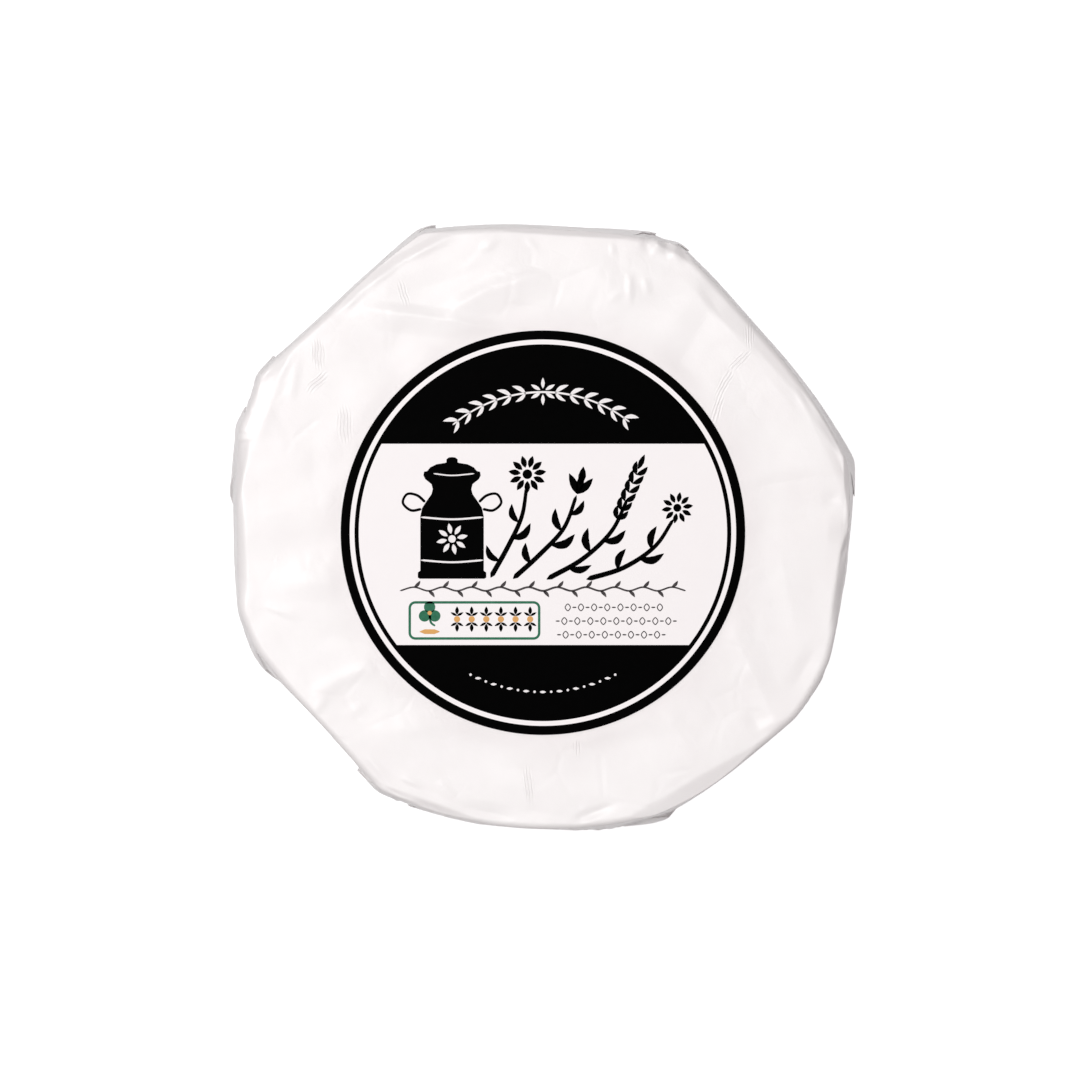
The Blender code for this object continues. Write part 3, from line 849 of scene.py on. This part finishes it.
# The flowers: their stems, the leaves on them, and their heads.
STEMS = (
    ((-8.4, -7.2), (-5.6, -2.2), (-3.4, 2.6), (-2.6, 7.4)),
    ((-4.8, -7.4), (-0.4, -3.4), (3.4, 0.8), (5.4, 6.0)),
    ((0.6, -7.5), (6.4, -4.2), (11.0, 0.2), (13.6, 5.4)),
    ((7.0, -7.5), (13.0, -5.6), (18.0, -2.2), (21.0, 2.2)),
)
STEM_LEAVES = (
    (-6.9, -4.6, 150.0, 3.6, 1.1, -40.0),
    (-5.0, -1.0, 20.0, 4.2, 1.3, 40.0),
    (-3.9, 1.6, 128.0, 3.4, 1.1, -36.0),
    (-2.0, -5.0, 118.0, 3.6, 1.2, -30.0),
    (1.2, -2.0, 4.0, 4.6, 1.4, 40.0),
    (3.0, 0.2, 120.0, 4.0, 1.2, -30.0),
    (4.4, 2.8, 30.0, 3.4, 1.1, 34.0),
    (4.0, -5.7, -8.0, 4.0, 1.2, 30.0),
    (7.6, -3.2, 112.0, 4.2, 1.3, -34.0),
    (9.6, -1.4, 6.0, 4.4, 1.3, 40.0),
    (12.0, -6.0, 84.0, 3.8, 1.2, -30.0),
    (15.4, -4.2, -6.0, 4.4, 1.3, 36.0),
    (17.4, -2.7, 92.0, 4.0, 1.2, -30.0),
)
DAISIES = ((-2.5, 9.4, 3.0, 11), (21.6, 4.0, 2.5, 10))
TULIP_PETALS = ((0.0, 74.0), (0.0, 108.0), (0.0, 42.0), (1.5, 76.0))
for stem in STEMS:
    black_pieces.append(stroke(stem, 0.85, 0.75, 0.55))
for row in STEM_LEAVES:
    black_pieces.append(leaf(*row))
for x, y, radius, petals in DAISIES:
    black_pieces.append(spot(x, y, radius * 0.26))
    for petal in range(petals):
        heading = 360.0 * petal / petals + 8.0
        start = beyond(x, y, heading, radius * 0.36)
        black_pieces.append(leaf(*start, heading, radius * 0.66, radius * 0.32))
for lift, heading in TULIP_PETALS:
    black_pieces.append(leaf(5.5 + lift * 0.3, 6.2 + lift, heading, 3.6 - lift * 0.4, 1.25, 6.0))
for grain in range(6):
    x, y = 11.9 + grain * 0.62, 2.2 + grain * 1.42
    black_pieces.append(leaf(x, y, 100.0, 2.3, 0.9, -26.0))
    black_pieces.append(leaf(x, y, 22.0, 2.3, 0.9, 26.0))
black_pieces.append(leaf(15.3, 10.2, 66.0, 2.6, 0.9))
printed("black_print", black_ink, INK_FACE, black_pieces)

# The vine and the rows of beads below it: the middle, the level and half the length of each row.
grey_ink = ink("grey_ink", (0.030, 0.024, 0.026, 1.0), (0.075, 0.064, 0.066, 1.0))
vine = [(-23.0 + step * 2.3, -9.05 + (0.30 if step % 2 else -0.30)) for step in range(21)]
grey_pieces = [stroke(vine, 0.26, 0.34, 0.26)]
for step in range(1, 20):
    up = 1 if step % 2 else -1
    grey_pieces.append(leaf(*vine[step], 36.0 * up, 1.45, 0.55, 20.0 * up))
BEAD_ROWS = ((11.4, -12.0, 7.4), (11.8, -14.2, 9.4), (11.0, -16.4, 8.4))
BEAD_SPACING = 0.95
for row, (middle, level, half) in enumerate(BEAD_ROWS):
    beads = int(half / BEAD_SPACING)
    for bead in range(-beads, beads + 1):
        x = middle + bead * half / beads
        if (bead + row) % 2:
            ring = [(x - 0.42, level), (x, level + 0.55), (x + 0.42, level), (x, level - 0.55)]
            grey_pieces.append(stroke(ring, 0.16, closed=True))
        else:
            grey_pieces.append(stroke([(x - 0.36, level), (x + 0.36, level)], 0.22))
printed("grey_print", grey_ink, INK_FACE, grey_pieces)

# The frame, with a clover leaf over a gold dash, and gold beads that stand between black leaves.
green_ink = ink("green_ink", (0.013, 0.137, 0.068, 1.0), (0.024, 0.175, 0.092, 1.0))
gold_ink = ink("gold_ink", (0.760, 0.400, 0.120, 1.0), (0.690, 0.360, 0.120, 1.0))
FRAME_LEFT, FRAME_RIGHT, FRAME_LOW, FRAME_HIGH, FRAME_ROUND = -21.4, -0.6, -17.0, -11.2, 0.9
CLOVER = (-18.2, -12.9)
GOLD_BEADS = [(-13.8 + bead * 2.35, -13.9) for bead in range(6)]
left, right = FRAME_LEFT + FRAME_ROUND, FRAME_RIGHT - FRAME_ROUND
low, high = FRAME_LOW + FRAME_ROUND, FRAME_HIGH - FRAME_ROUND
frame_line = [beyond(x, y, first + turn, FRAME_ROUND)
              for x, y, first in ((right, high, 0), (left, high, 90), (left, low, 180), (right, low, 270))
              for turn in range(0, 91, 15)]
green_pieces = [stroke(frame_line, 0.40, closed=True, smoothed=False)]
for heading in (90.0, 210.0, 330.0):
    green_pieces.append(spot(*beyond(*CLOVER, heading, 0.95), 0.92))
green_pieces.append(stroke([(-18.2, -13.2), (-18.0, -14.4), (-17.3, -15.0)], 0.4, 0.3))
printed("green_print", green_ink, INK_FACE, green_pieces)
gold_pieces = [stroke([(-19.8, -15.9), (-16.6, -15.9)], 0.75), spot(*CLOVER, 0.34)]
gold_pieces += [spot(x, y, 0.5) for x, y in GOLD_BEADS]
printed("gold_print", gold_ink, WHITE_INK_FACE, gold_pieces)
bead_pieces = []
for x, y in GOLD_BEADS:
    for up in (-1, 1):
        bead_pieces.append(leaf(x, y + up * 0.75, 90.0 * up, 1.3, 0.62))
        bead_pieces.append(leaf(x, y + up * 0.55, 90.0 * up + 62.0, 1.15, 0.42))
        bead_pieces.append(leaf(x, y + up * 0.55, 90.0 * up - 62.0, 1.15, 0.42))
printed("bead_print", black_ink, INK_FACE, bead_pieces)

# The white ornaments: the hoops and the flower on the churn, the garland above and the row below.
white_ink = ink("white_ink", (0.930, 0.905, 0.905, 1.0), (0.860, 0.835, 0.835, 1.0))
white_pieces = []
CHURN_HOOPS = ((3.0, -5.1, 5.1, 0.35, 0.3), (9.9, -5.1, 5.1, 0.35, 0.3), (16.9, -3.0, 3.6, 0.3, 0.22))
for high, first, last, sag, width in CHURN_HOOPS:
    hoop = [(CHURN_MIDDLE + first, CHURN_FOOT + high), (CHURN_MIDDLE, CHURN_FOOT + high - sag),
            (CHURN_MIDDLE + last, CHURN_FOOT + high)]
    white_pieces.append(stroke(hoop, width))
CHURN_FLOWER = (CHURN_MIDDLE, CHURN_FOOT + 6.4)
white_pieces.append(spot(*CHURN_FLOWER, 0.6))
for petal in range(8):
    heading = 45.0 * petal + 12.0
    white_pieces.append(leaf(*beyond(*CHURN_FLOWER, heading, 0.85), heading, 1.7, 0.75))
GARLAND_RADIUS = 22.6
GARLAND_MIDDLE = 91
garland = [beyond(0.0, 0.0, turn, GARLAND_RADIUS) for turn in range(52, 131, 6)]
white_pieces.append(stroke(garland, 0.24, 0.32, 0.24))
for turn in (*range(55, GARLAND_MIDDLE, 6), *range(GARLAND_MIDDLE + 6, 128, 6)):
    x, y = beyond(0.0, 0.0, turn, GARLAND_RADIUS)
    away = -90.0 if turn < GARLAND_MIDDLE else 90.0
    white_pieces.append(leaf(x, y, turn + away * 0.52, 2.5, 0.7, away * 0.2))
    white_pieces.append(leaf(x, y, turn + away * 1.48, 2.2, 0.6, -away * 0.2))
for petal in range(6):
    heading = 60.0 * petal + 30.0
    white_pieces.append(leaf(*beyond(0.0, GARLAND_RADIUS + 0.1, heading, 0.5), heading, 1.7, 0.6))
LOWER_ROW_RADIUS = 25.6
for turn in range(243, 298, 3):
    x, y = beyond(0.0, 0.0, turn, LOWER_ROW_RADIUS)
    if turn % 2:
        white_pieces.append(spot(x, y, 0.2))
    else:
        white_pieces.append(leaf(x - 0.5, y, 0.0, 1.0, 0.42))
printed("white_print", white_ink, WHITE_INK_FACE, white_pieces)


# The table, the lights and the camera.
# A plain white table, soft light from straight above and a little from the left, and a long lens that
# looks straight down, as the photograph was taken.

PIXEL = 0.1607 * MM
PHOTO_SIDE = 1080
LABEL_PIXEL = (542.9, 532.7)
CAMERA_DISTANCE = 1100.0 * MM
TABLE_LEVEL = -0.1 * MM
TABLE_WHITE = (0.66, 0.66, 0.66, 1.0)
TABLE_GREY = (0.64, 0.64, 0.64, 1.0)

table_finish = Finish("white_table", Specular_IOR_Level=0.1, Roughness=0.8, Emission_Strength=0.78,
                      Emission_Color=(1.0, 1.0, 1.0, 1.0))
table_finish.set("Base Color", table_finish.mix(table_finish.noise(3.0), TABLE_WHITE, TABLE_GREY))
bpy.ops.mesh.primitive_plane_add(size=6.0, location=(0.0, 0.0, TABLE_LEVEL))
table = bpy.context.object
table.name = "table"
table.data.materials.append(table_finish.material)
table.visible_diffuse = False

world = bpy.data.worlds.new("studio")
world.use_nodes = True
world.node_tree.nodes["Background"].inputs["Color"].default_value = (1.0, 0.905, 0.925, 1.0)
world.node_tree.nodes["Background"].inputs["Strength"].default_value = 0.24
bpy.context.scene.world = world


def soft_light(name, place, size, power):
    """A square panel of light that faces the wheel."""
    bpy.ops.object.light_add(type="AREA", location=place)
    light = bpy.context.object
    light.name = name
    light.data.size = size
    light.data.energy = power
    light.rotation_euler = (-light.location).to_track_quat("-Z", "Y").to_euler()


soft_light("box_left", (-0.31, 0.15, 0.95), 0.32, 4.95)
soft_light("box_over", (0.02, -0.02, 1.60), 1.1, 7.4)

bpy.ops.object.camera_add()
camera = bpy.context.object
half_photo = PHOTO_SIDE / 2
camera.location = (LABEL_MIDDLE[0] - (LABEL_PIXEL[0] - half_photo) * PIXEL,
                   LABEL_MIDDLE[1] + (LABEL_PIXEL[1] - half_photo) * PIXEL,
                   LABEL_FACE + CAMERA_DISTANCE)
camera.rotation_euler = (0.0, 0.0, 0.0)
camera.data.sensor_fit = "HORIZONTAL"
camera.data.angle = 2 * math.atan(half_photo * PIXEL / CAMERA_DISTANCE)
camera.data.clip_end = 20.0
bpy.context.scene.camera = camera
bpy.context.scene.view_settings.view_transform = "Standard"
